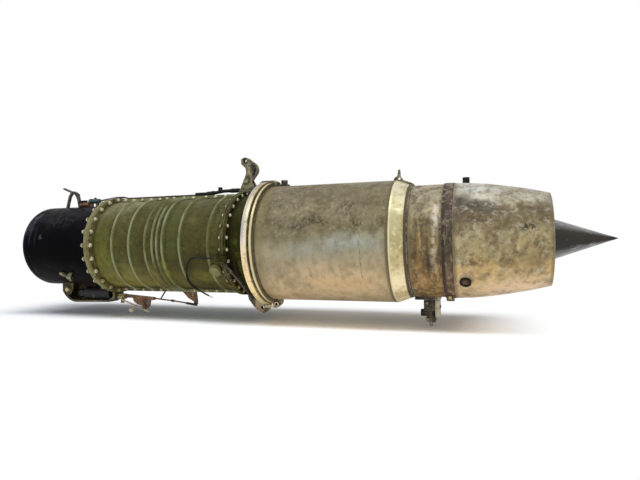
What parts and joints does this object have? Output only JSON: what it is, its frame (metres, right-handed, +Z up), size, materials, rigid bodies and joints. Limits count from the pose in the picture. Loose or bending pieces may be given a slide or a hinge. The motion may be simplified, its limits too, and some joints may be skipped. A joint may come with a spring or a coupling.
{
  "type": "jet engine",
  "caption": "Bare axial-flow jet engine: black intake drum, ribbed split compressor casing, mounting ring, burner and turbine casings, tapering nozzle with a pointed inner cone",
  "frame": {"origin": "centre of the intake mouth, on the engine axis", "axes": "+X runs along the engine axis from the intake to the exhaust, +Z is up when the engine hangs from its upper link, -Y is the pictured side"},
  "size_m": [2.343, 0.482, 0.6523],
  "materials": {
    "black_paint": "worn satin",
    "olive_paint": "faded matt",
    "frame_alloy": "dull",
    "dark_olive": "matt",
    "ring_steel": "dull",
    "burner_steel": "heat stained",
    "band_steel": "satin",
    "turbine_steel": "heat stained",
    "seam_rust": "rusty",
    "nozzle_steel": "heat stained",
    "cone_steel": "sooty",
    "inner_steel": "dull",
    "bare_fittings": "dull",
    "brown_fitting": "tarnished",
    "teal_fitting": "faded anodised",
    "black_rubber": "matt",
    "cradle_paint": "oily"
  },
  "bodies": {
    "engine": {"bleed_cap": "olive_paint", "breather_pipe": "bare_fittings", "breather_stub": "brown_fitting", "breather_union": "teal_fitting", "burner_casing": "burner_steel", "burner_liner": "inner_steel", "clamp_ring": "seam_rust", "compressor_casing_far": "olive_paint", "compressor_casing_near": "olive_paint", "cone_struts": "cone_steel", "conical_band": "band_steel", "control_rod": "bare_fittings", "cradle_knob": "bare_fittings", "diffuser_casing": "dark_olive", "drain_bracket": "cradle_paint", "drain_pipe": "bare_fittings", "drain_union": "bare_fittings", "drum_clip": "bare_fittings", "drum_top_strap": "bare_fittings", "front_bearing": "inner_steel", "front_flange_bolts": "frame_alloy", "front_frame": "frame_alloy", "fuel_jets": "inner_steel", "fuel_manifold": "inner_steel", "fuel_pump": "cradle_paint", "hose_clamp": "black_rubber", "igniter": "burner_steel", "igniter_lead": "black_rubber", "intake_drum": "black_paint", "jet_nozzle": "nozzle_steel", "lead_clamp": "bare_fittings", "link_bar": "bare_fittings", "lower_mount_ear": "dark_olive", "lower_mount_lug": "dark_olive", "mounting_ring": "ring_steel", "nose_cone": "black_paint", "nozzle_ports": "nozzle_steel", "pump_cradle": "cradle_paint", "rear_bearing": "inner_steel", "rear_flange_bolts": "frame_alloy", "rear_mount_fitting": "turbine_steel", "rear_top_bracket": "turbine_steel", "ring_saddle": "ring_steel", "shaft_tunnel": "inner_steel", "side_pipe": "bare_fittings", "split_flange_bolts": "frame_alloy", "stator_vanes_far": "inner_steel", "stator_vanes_near": "inner_steel", "tail_cone": "cone_steel", "top_hose": "black_rubber", "turbine_casing": "turbine_steel", "turbine_nozzle_ring": "inner_steel", "upper_mount_bracket": "ring_steel", "upper_mount_link": "ring_steel", "upper_mount_pin": "ring_steel"},
    "rotor": {"compressor_drum": "inner_steel", "compressor_blades": "inner_steel", "turbine_shaft": "inner_steel", "turbine_disc": "inner_steel", "turbine_blades": "inner_steel"}
  },
  "joints": [
    {"name": "rotor_spin", "type": "hinge", "parent": "engine", "child": "rotor", "pos_m": [0.4, 0, 0], "axis": [1, 0, 0], "continuous": true}
  ]
}
